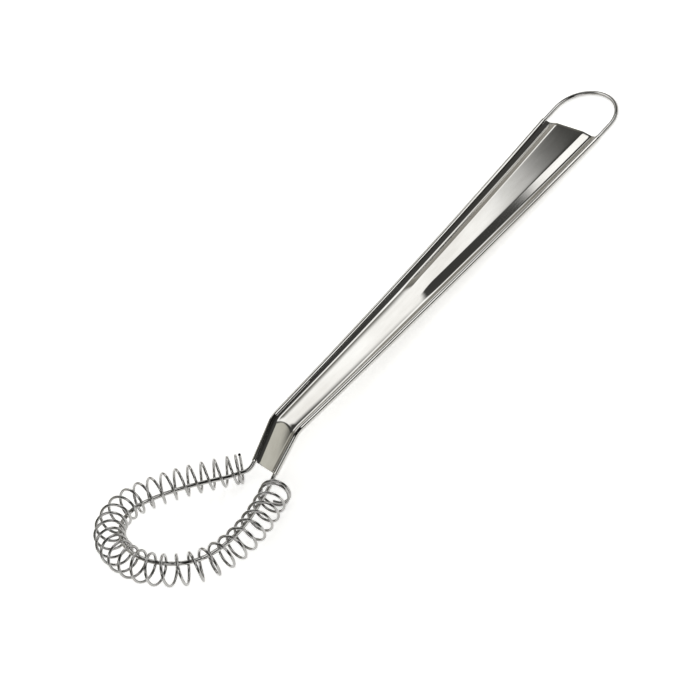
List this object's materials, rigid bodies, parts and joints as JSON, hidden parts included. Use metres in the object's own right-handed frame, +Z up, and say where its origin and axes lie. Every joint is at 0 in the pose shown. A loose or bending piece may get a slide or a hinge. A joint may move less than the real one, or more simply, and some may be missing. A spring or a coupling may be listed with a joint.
{
  "type": "whisk",
  "caption": "Bright steel coil whisk: a bent wire frame with a loose coil spring on its round head, a cranked sheet handle rolled over the wire, and a hanging loop; for whipping and beating.",
  "frame": {"origin": "on the table under the middle of the whisk's box", "axes": "+Y runs along the handle from the whisk head to the hanging loop, +X is to the right seen from the head end with the front of the handle up, +Z is up from the table that the whisk lies on"},
  "size_m": [0.0642, 0.2746, 0.0381],
  "materials": {
    "plated_sheet": "bright plated steel sheet, smooth, with faint rubbing marks",
    "plated_wire": "bright plated drawn steel wire",
    "spring_wire": "bright plated spring steel wire, slightly duller than the frame"
  },
  "bodies": {
    "frame": {"handle_sheet": "plated_sheet", "frame_wire": "plated_wire"},
    "coil": {"whisk_coil": "spring_wire"}
  },
  "joints": [
    {"name": "coil_float", "type": "slide", "parent": "frame", "child": "coil", "axis": [0, 0.445, 0.8955], "range_m": [-0.0014, 0.0014]}
  ]
}
